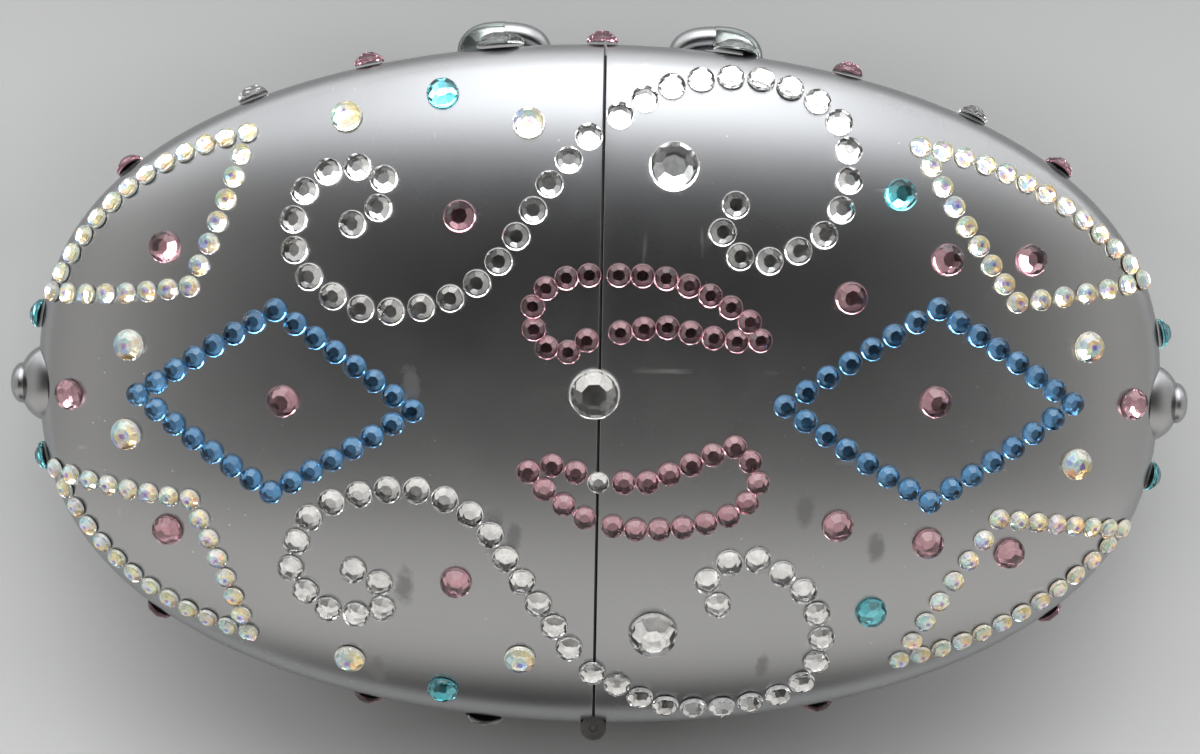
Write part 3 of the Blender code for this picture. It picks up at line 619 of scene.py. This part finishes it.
def build_stones():
    """Every stone of the case, one piece for each pattern on each half."""
    foil = stone_foil("foil_silver", (0.90, 0.90, 0.90))
    clear = (stone_glass("glass_clear", CLEAR), foil)
    rose = (stone_glass("glass_rose", ROSE), foil)
    blue = (stone_glass("glass_blue", BLUE), foil)
    aqua = (stone_glass("glass_aqua", AQUA), foil)
    aurora = (stone_glass("glass_aurora", AURORA, pearl=0.09), foil)

    for number, (place, (corners, bows, counts)) in enumerate(TRIANGLES.items()):
        stones = Stones("triangle_stones_" + place, 11 + number)
        middle = sum((Vector(c) for c in corners), Vector((0, 0))) / 3
        for index in range(3):
            line = bowed_side(corners[index], corners[(index + 1) % 3], bows[index], middle)
            for spot in even_places(line, counts[index], ends=False):
                stones.put(on_face(spot.x, spot.y), TRIANGLE_STONE, hue=stones.random.random(), aurora=True)
        stones.done(aurora, half_of(corners[0][0]), "ab_stone", "ab_triangle_" + place)

    for number, (side, corners) in enumerate(DIAMONDS.items()):
        stones = Stones("diamond_stones_" + side, 21 + number)
        middle = sum((Vector(c) for c in corners), Vector((0, 0))) / 4
        for index in range(4):
            line = bowed_side(corners[index], corners[(index + 1) % 4], DIAMOND_BOW, middle)
            for spot in even_places(line, DIAMOND_COUNT, ends=False):
                stones.put(on_face(spot.x, spot.y), DIAMOND_STONE)
        stones.done(blue, half_of(corners[0][0]), "blue_stone", "blue_diamond_" + side)

    for number, (place, (corners, count)) in enumerate(LEAVES.items()):
        stones = Stones("leaf_stones_" + place, 31 + number)
        for spot in even_places(line_through(corners), count):
            stones.put(on_face(spot.x, spot.y), LEAF_STONE)
        stones.done(rose, half_of(corners[0][0]), "rose_stone", "rose_leaf_" + place)

    for number, (place, (corners, count)) in enumerate(SCROLLS.items()):
        stones = Stones("scroll_stones_" + place, 41 + number)
        for spot in even_places(line_through(corners), count):
            stones.put(on_face(spot.x, spot.y), SCROLL_STONE)
        stones.done(clear, half_of(corners[0][0]), "clear_stone", "clear_scroll_" + place)

    for number, (place, (x, y, size)) in enumerate(LARGE_SPOTS.items()):
        stones = Stones("large_stone_visual_" + place, 51 + number)
        stones.put(on_face(x * MM, y * MM), size * MM, lift=0.2 * MM, tilt=0.01)
        stones.done(clear, half_of(x), "clear_stone", "large_stone_" + place)

    stones = Stones("stones_over_seam", 56)
    for x, y, size in SEAM_SPOTS:
        stones.put(on_face(x * MM, y * MM), size * MM, lift=0.15 * MM)
    stones.done(clear, LEFT, "clear_stone")

    groups = {"aqua": (AQUA_SPOTS, aqua, "blue_stone"), "aurora": (AB_SPOTS, aurora, "ab_stone"),
              "rose": (ROSE_SPOTS, rose, "rose_stone")}
    for number, (kind, (spots, look, slot)) in enumerate(groups.items()):
        for side, sign in (("left", -1), ("right", 1)):
            stones = Stones("single_stones_%s_%s" % (kind, side), 61 + 2 * number + (sign > 0))
            for x, y in spots:
                if x * sign > 0:
                    hue = stones.random.random() if kind == "aurora" else 0.5
                    stones.put(on_face(x * MM, y * MM), SINGLE_STONE, hue=hue, aurora=kind == "aurora")
            stones.done(look, LEFT if sign < 0 else RIGHT, slot)

    # the stones of the rim get darker copies of the rose and clear glass: painted shade for stones seen
    # edge-on at the outline
    rose_rim = (stone_glass("glass_rose_rim_shaded", ROSE_RIM_SHADED), foil)
    clear_rim = (stone_glass("glass_clear_rim_shaded", CLEAR_RIM_SHADED), foil)
    looks = {"rose": (rose_rim, "rose_stone"), "clear": (clear_rim, "clear_stone"),
             "aqua": (aqua, "blue_stone")}
    rim = {}
    for side, row, z in RIM_ROWS:
        for x, kind, size in row:
            rim.setdefault((kind, half_of(x)), []).append((on_edge(x * MM, z * MM, side), size))
    for side, y, kind, size in RIM_ENDS:
        rim.setdefault((kind, half_of(side)), []).append((on_end(y * MM, RIM_ENDS_Z * MM, side), size))
    for number, ((kind, body), places) in enumerate(sorted(rim.items())):
        stones = Stones("rim_stones_%s_%s" % (kind, body[:-5]), 71 + number)
        for point, size in places:
            flat = RIM_LARGE_FLAT if size > RIM_LARGE else 1.0
            stones.put(point, size * MM, lift=RIM_LIFT, flat=flat)
        stones.done(looks[kind][0], body, looks[kind][1])

    stones = Stones("rim_stone_visual_over_seam", 81)
    x, size = RIM_OVER_SEAM
    stones.put(on_edge(x * MM, RIM_TOP_Z * MM, 1), size * MM, lift=RIM_LIFT)
    stones.done(rose_rim, LEFT, "rose_stone", "rim_stone_over_seam")


# The shell halves

# Steps round each ring, and stations from the seam to the tip
RING_STEPS = 144
STATIONS = 46
TIP_SHARES = [0.99965, 0.99997]
# The softened lip at the seam, and the notch for the hinge's barrel
LIP = 0.12 * MM
NOTCH_RADIUS = 2.9 * MM
NOTCH_HALF = 5.4 * MM
# The gasket's section, from the seam: x and depth under the surface in millimetres
GASKET = ((-0.2, 0.35), (0.02, 0.35), (0.02, 1.75), (-0.2, 1.75))
GASKET_GAP_RADIUS = 3.2 * MM
GASKET_GAP_HALF = 30 * MM
GASKET_LOW = 0.1 * MM


def ring_reach(x, angle, inset):
    """How far the cross-section at a station reaches in a direction, as a share of its two half-axes."""
    along = (x / (HALF_LENGTH - inset)) ** 2
    across, up = abs(math.cos(angle)), abs(math.sin(angle))
    low, high = 0.0, 1.2
    for _ in range(36):
        reach = (low + high) / 2
        total = along + (reach * across) ** ACROSS_POWER + (reach * up) ** 2
        low, high = (reach, high) if total < 1.0 else (low, reach)
    return reach


def shell_ring(bm, x, inset):
    """The body's cross-section at a station, drawn in by an inset."""
    ring = []
    for step in range(RING_STEPS):
        angle = math.tau * step / RING_STEPS
        reach = ring_reach(x, angle, inset)
        y = reach * math.cos(angle) * (HALF_WIDTH - inset)
        z = reach * math.sin(angle) * (HALF_DEPTH - inset)
        ring.append(bm.verts.new((x, y, MID_Z + z)))
    return ring


def mesh_object(name, bm, material, smooth):
    """An object that faces outward, smooth up to an angle in degrees, or flat-shaded at 0."""
    bm.normal_update()
    bmesh.ops.recalc_face_normals(bm, faces=bm.faces)
    if bm.calc_volume(signed=True) < 0:
        bmesh.ops.reverse_faces(bm, faces=bm.faces)
    mesh = bpy.data.meshes.new(name)
    bm.to_mesh(mesh)
    bm.free()
    mesh.materials.append(material)
    if smooth:
        mesh.shade_smooth()
        mesh.set_sharp_from_angle(angle=math.radians(smooth))
    obj = bpy.data.objects.new(name, mesh)
    bpy.context.scene.collection.objects.link(obj)
    return obj


def bridge(bm, one, two, index=0):
    """Join two rings with a band of faces."""
    count = len(one)
    for step in range(count):
        after = (step + 1) % count
        bm.faces.new((one[step], one[after], two[after], two[step])).material_index = index


def cut(obj, other):
    """Take one object's shape out of another, and remove the tool."""
    modifier = obj.modifiers.new("cut", "BOOLEAN")
    modifier.operation = "DIFFERENCE"
    modifier.solver = "EXACT"
    modifier.object = other
    graph = bpy.context.evaluated_depsgraph_get()
    mesh = bpy.data.meshes.new_from_object(obj.evaluated_get(graph))
    obj.modifiers.clear()
    obj.data = mesh
    bpy.data.objects.remove(other, do_unlink=True)


def hinge_rod(name, radius, half, material, steps=48):
    """A rod along the hinge's axis, to cut with."""
    middle = Vector((0, HINGE_Y, MID_Z))
    bm = bmesh.new()
    rings = []
    for along in (-half, half):
        ring = []
        for step in range(steps):
            angle = math.tau * step / steps
            spot = Vector((radius * math.cos(angle), radius * math.sin(angle), along))
            ring.append(bm.verts.new(spot + middle))
        rings.append(ring)
    bridge(bm, *rings)
    bm.faces.new(rings[0])
    bm.faces.new(rings[1])
    return mesh_object(name, bm, material, 0)


def build_shell(side, sign, material, dark):
    """One hollow half: silver outside, and near-black painted shade at the seam's wall and inside."""
    stations = [math.sin(math.pi / 2 * part / STATIONS) for part in range(1, STATIONS)] + TIP_SHARES
    bm = bmesh.new()
    # from the seam's inner corner round its softened lip, and out to the tip
    rings = [
        shell_ring(bm, sign * SEAM, WALL),
        shell_ring(bm, sign * SEAM, LIP),
        shell_ring(bm, sign * (SEAM + LIP * 0.12), LIP * 0.45),
        shell_ring(bm, sign * (SEAM + LIP * 0.45), LIP * 0.12),
        shell_ring(bm, sign * (SEAM + LIP), 0.0),
    ]
    for share in stations:
        x = share * HALF_LENGTH
        if x > SEAM + LIP * 2:
            rings.append(shell_ring(bm, sign * x, 0.0))
    # the band at the seam's wall takes the second material, the near-black painted shade
    for one, two in zip(rings, rings[1:]):
        bridge(bm, one, two, 1 if one is rings[0] else 0)
    bm.faces.new(rings[-1])
    inner = [rings[0]]
    for share in stations[:-2:2]:
        x = share * (HALF_LENGTH - WALL)
        if x > SEAM + 2 * MM:
            inner.append(shell_ring(bm, sign * x, WALL))
    for one, two in zip(inner, inner[1:]):
        bridge(bm, one, two, 1)
    bm.faces.new(inner[-1]).material_index = 1
    # the land that the case lies on is where the floor's plane cuts it
    everything = bm.verts[:] + bm.edges[:] + bm.faces[:]
    sliced = bmesh.ops.bisect_plane(bm, geom=everything, dist=1e-7, plane_co=(0, 0, 0),
                                    plane_no=(0, 0, -1), clear_outer=True)
    rim = [part for part in sliced["geom_cut"] if isinstance(part, bmesh.types.BMEdge)]
    bmesh.ops.contextual_create(bm, geom=rim)
    shell = mesh_object(side + "_shell_visual", bm, material, 40)
    shell.data.materials.append(dark)
    cut(shell, hinge_rod("notch", NOTCH_RADIUS, NOTCH_HALF, material))
    shell.data.shade_smooth()
    shell.data.set_sharp_from_angle(angle=math.radians(40))
    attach(shell, side + "_half")
    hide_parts(side + "_shell")


def build_gasket(material):
    """The thin black strip that closes the seam behind its two lips, in the near-black painted shade."""
    bm = bmesh.new()
    rings = [shell_ring(bm, x * MM, inset * MM) for x, inset in GASKET]
    for one, two in zip(rings, rings[1:] + rings[:1]):
        bridge(bm, one, two)
    for vert in bm.verts:
        vert.co.z = max(vert.co.z, GASKET_LOW)
    gasket = mesh_object("seam_gasket", bm, material, 30)
    cut(gasket, hinge_rod("gap", GASKET_GAP_RADIUS, GASKET_GAP_HALF, material))
    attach(gasket, LEFT)


# Finials and lugs


def turned(name, profile, middle, sign, height, material, steps=72):
    """A body turned about X, with its height scaled: profile is (distance, radius) in millimetres."""
    bm = bmesh.new()
    rings = []
    for along, radius in profile:
        ring = []
        for step in range(steps):
            angle = math.tau * step / steps
            spot = Vector((along * sign, radius * math.cos(angle), radius * math.sin(angle) * height)) * MM
            ring.append(bm.verts.new(spot + Vector(middle)))
        rings.append(ring)
    for one, two in zip(rings, rings[1:]):
        bridge(bm, one, two)
    bm.faces.new(rings[0])
    bm.faces.new(rings[-1])
    return mesh_object(name, bm, material, 30)


# A finial's base lies inside the tip; the dome and the knob are in millimetres from it
FINIAL_SUNK = 2 * MM
FINIAL_Y = -0.4 * MM
FINIAL_STEPS = 13
DOME_RISE = 6.1
DOME_RADIUS = 7.7
DOME_HEIGHT = 0.6
KNOB_OUT = 5.3
KNOB_RISE = 2.3
KNOB_RADIUS = 4.05
KNOB_TIP = 0.5


def build_finial(side, sign, material):
    """A low oval dome with a round button on it, at the tip of a half."""
    middle = (sign * (HALF_LENGTH - FINIAL_SUNK), FINIAL_Y, MID_Z)
    dome = [(-0.5, 6.4), (-0.5, 7.65)]
    for step in range(FINIAL_STEPS):
        angle = math.radians(3 + 5.6 * step)
        dome.append((DOME_RISE * math.sin(angle), DOME_RADIUS * math.cos(angle)))
    dome.append((5.3, 2.2))
    base = turned(side + "_finial_dome", dome, middle, sign, DOME_HEIGHT, material)
    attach(base, side + "_half")
    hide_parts(side + "_finial_base")
    knob = [(3.0, 1.4), (4.2, 3.3), (4.5, 3.75)]
    for step in range(FINIAL_STEPS):
        angle = math.radians(-18 + 8.6 * step)
        radius = KNOB_RADIUS * math.cos(angle) ** 0.9 if step < FINIAL_STEPS - 1 else KNOB_TIP
        knob.append((KNOB_OUT + KNOB_RISE * math.sin(angle), radius))
    button = turned(side + "_finial_knob", knob, middle, sign, 1.0, material)
    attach(button, side + "_half")
    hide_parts(side + "_finial_button")


LUG_STEPS = 28
# The opening's half-width and rise, and how square the arch's shoulders are
OPENING_HALF = 5.2 * MM
OPENING_RISE = 2.0 * MM
LUG_SHOULDER = 0.8
# How far the feet go under the shell
LUG_SEAT = 0.8 * MM
LUG_FOOT = 0.05 * MM
# The bar and the arch each start this far from the lug's middle
LUG_SPLIT = 0.02 * MM
BAR_DEPTH = 2.6
# The arch's section: share of the way from the outside to the opening, and depth in millimetres
LUG_ARCH = [(0.0, -1.9), (0.0, 1.3), (0.04, 1.6), (0.1, 1.7), (0.17, 1.6), (0.2, 1.0), (0.25, 0.85),
            (1.0, 0.95), (1.0, -1.9)]


def build_lug(side, sign, polished, dull):
    """A strap lug: a round polished bar on the seam side, and a set-back arch with a rim on the other."""
    middle = LUG_X[side]
    base = on_edge(middle, LUG_Z, 1).y
    bar = []
    for step in range(LUG_STEPS):
        angle = math.tau * step / LUG_STEPS
        bar.append((0.5 - 0.5 * math.cos(angle), BAR_DEPTH * math.sin(angle)))
    bm = bmesh.new()
    for part, section, index in ((-sign, bar, 0), (sign, LUG_ARCH, 1)):
        rings = []
        for step in range(LUG_STEPS + 1):
            angle = math.pi / 2 * step / LUG_STEPS
            across = math.sin(angle) ** LUG_SHOULDER
            up = abs(math.cos(angle)) ** LUG_SHOULDER
            ring = []
            for share, deep in section:
                x = part * ((LUG_HALF * (1 - share) + OPENING_HALF * share) * across + LUG_SPLIT)
                y = LUG_RISE * (1 - share) + OPENING_RISE * share
                ring.append(bm.verts.new((middle + x, base + y * up, MID_Z + LUG_Z + deep * MM)))
            rings.append(ring)
        foot = []
        for vert in rings[-1]:
            seat = on_edge(vert.co.x, vert.co.z - MID_Z, 1).y - LUG_SEAT
            foot.append(bm.verts.new((vert.co.x, min(vert.co.y, seat) - LUG_FOOT, vert.co.z)))
        rings.append(foot)
        for one, two in zip(rings, rings[1:]):
            bridge(bm, one, two, index)
        bm.faces.new(rings[0]).material_index = index
        bm.faces.new(rings[-1]).material_index = index
    lug = mesh_object(side + "_lug_visual", bm, polished, 35)
    lug.data.materials.append(dull)
    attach(lug, side + "_half")
    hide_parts(side + "_lug")


def finish_frame_nodes():
    """Better materials on the CAD pieces that stay in view."""
    looks = {
        "chrome": chrome("chrome_plate"),
        "hinge_steel": worn_steel("hinge_steel_worn"),
        "magnet_black": magnet_black("magnet_coat"),
        "lining_satin": lining_satin("lining_cloth"),
        "satin_silver": satin_silver("satin_silver_frame", smudged=False),
    }
    slots = {row["node"]: row["material_slot"] for row in frame["record"]["subparts"]}
    # the frame rings behind the seam are near-black: painted shade
    ring_shade_black = dark_edge("ring_in_shadow")
    for name, node in frame["nodes"].items():
        look = ring_shade_black if name.endswith("frame_ring") else looks.get(slots.get(name))
        if look and not node.hide_render:
            for index in range(len(node.material_slots)):
                node.material_slots[index].material = look


def build_world():
    """A soft room: a bright window beyond the +Y edge, a dim spot overhead, and pale walls round the rest."""
    world = bpy.data.worlds.new("studio")
    bpy.context.scene.world = world
    world.use_nodes = True
    tree = world.node_tree
    tree.nodes.clear()
    coords = tree.nodes.new("ShaderNodeTexCoord")
    split = tree.nodes.new("ShaderNodeSeparateXYZ")
    tree.links.new(coords.outputs["Generated"], split.inputs[0])

    def math_node(operation, one, two=None):
        made = tree.nodes.new("ShaderNodeMath")
        made.operation = operation
        for index, value in enumerate((one, two)):
            if isinstance(value, bpy.types.NodeSocket):
                tree.links.new(value, made.inputs[index])
            elif value is not None:
                made.inputs[index].default_value = value
        return made.outputs[0]

    def curve(value, stops):
        """A level that follows a value through a few stops between 0 and 1."""
        made = tree.nodes.new("ShaderNodeFloatCurve")
        points = made.mapping.curves[0].points
        peak = max(level for _, level in stops)
        while len(points) < len(stops):
            points.new(0.5, 0.5)
        for point, (spot, level) in zip(points, stops):
            point.location = (spot, level / peak)
            point.handle_type = "AUTO_CLAMPED"
        made.mapping.update()
        tree.links.new(value, made.inputs["Value"])
        return math_node("MULTIPLY", made.outputs[0], peak)

    along, across = split.outputs["X"], split.outputs["Y"]
    sideways = math_node("ABSOLUTE", math_node("SUBTRACT", along, ROOM_MIDDLE))
    window = math_node("MULTIPLY", curve(across, WINDOW), curve(sideways, WINDOW_SIDES))
    wall = curve(math_node("MULTIPLY", across, -1.0), WALL_LIGHT)
    sides = curve(sideways, SIDE_LIGHT)
    room = math_node("MAXIMUM", wall, sides)

    def tinted(level, tint):
        """A level of light as a colour."""
        made = tree.nodes.new("ShaderNodeVectorMath")
        made.operation = "SCALE"
        made.inputs[0].default_value = tint
        tree.links.new(level, made.inputs["Scale"])
        return made.outputs[0]

    both = tree.nodes.new("ShaderNodeVectorMath")
    both.operation = "ADD"
    tree.links.new(tinted(window, COOL), both.inputs[0])
    tree.links.new(tinted(room, WARM), both.inputs[1])
    background = tree.nodes.new("ShaderNodeBackground")
    output = tree.nodes.new("ShaderNodeOutputWorld")
    tree.links.new(both.outputs[0], background.inputs["Color"])
    tree.links.new(background.outputs[0], output.inputs[0])
    bpy.context.scene.view_settings.view_transform = "Standard"


# The stage, in metres, and the camera's angles
FLOOR_REACH = 1.6
CAMERA_DISTANCE = 0.52
CAMERA_TILT = math.radians(10.9)
CAMERA_ROLL = math.radians(1.03)


def area_light(name, place, size, power):
    """A soft light that faces the case, and that the metal doesn't mirror."""
    light = bpy.data.lights.new(name, "AREA")
    light.shape = "RECTANGLE"
    light.size, light.size_y = size
    light.energy = power
    light.specular_factor = 0.0
    obj = bpy.data.objects.new(name, light)
    obj.location = place
    aim = Vector((0, 0, 0)) - Vector(place)
    obj.rotation_euler = aim.to_track_quat("-Z", "Y").to_euler()
    obj.visible_glossy = False
    bpy.context.scene.collection.objects.link(obj)


def build_stage():
    """The floor, the room, the lights and the camera."""
    bm = bmesh.new()
    reach = FLOOR_REACH
    bm.faces.new([bm.verts.new((x * reach, y * reach, 0.0)) for x, y in ((-1, -1), (1, -1), (1, 1), (-1, 1))])
    floor = mesh_object("floor", bm, table_top("table_top"), 0)
    if floor.data.polygons[0].normal.z < 0:
        floor.data.flip_normals()

    build_world()
    area_light("window_light", (0.0, 2.55, 1.65), (4.8, 1.2), 480.0)
    area_light("left_light", (-0.8, 0.3, 0.35), (0.5, 0.3), 30.0)
    area_light("right_light", (0.8, 0.3, 0.35), (0.5, 0.3), 30.0)

    camera = bpy.data.cameras.new("camera")
    view = bpy.data.objects.new("camera", camera)
    bpy.context.scene.collection.objects.link(view)
    y = CAMERA_DISTANCE * math.sin(CAMERA_TILT)
    z = MID_Z + CAMERA_DISTANCE * math.cos(CAMERA_TILT)
    turn = Matrix.Rotation(-CAMERA_TILT, 4, "X") @ Matrix.Rotation(CAMERA_ROLL, 4, "Z")
    view.matrix_world = Matrix.Translation((0, y, z)) @ turn
    camera.sensor_width = 36.0
    camera.lens = 78.9
    camera.shift_x = 0.0006
    camera.shift_y = 0.0114
    camera.clip_start = 0.01
    bpy.context.scene.camera = view


def main():
    """Dress both halves, set the stones and build the stage."""
    silver = satin_silver("satin_silver_shell")
    silver_plain = satin_silver("satin_silver_small", smudged=False)
    # near-black painted shade for the seam's walls, the shells' insides and the strip behind the seam
    dark = dark_edge("seam_shade_black")
    plated = chrome("chrome_lug_bar", (0.40, 0.405, 0.41), 0.2, 0.3)
    plated_dull = chrome("chrome_lug_arch", (0.30, 0.33, 0.325), 0.3, 0.42)
    for side, sign in (("left", -1), ("right", 1)):
        build_shell(side, sign, silver, dark)
        build_finial(side, sign, silver_plain)
        build_lug(side, sign, plated, plated_dull)
    build_gasket(dark)
    build_stones()
    finish_frame_nodes()
    build_stage()


main()
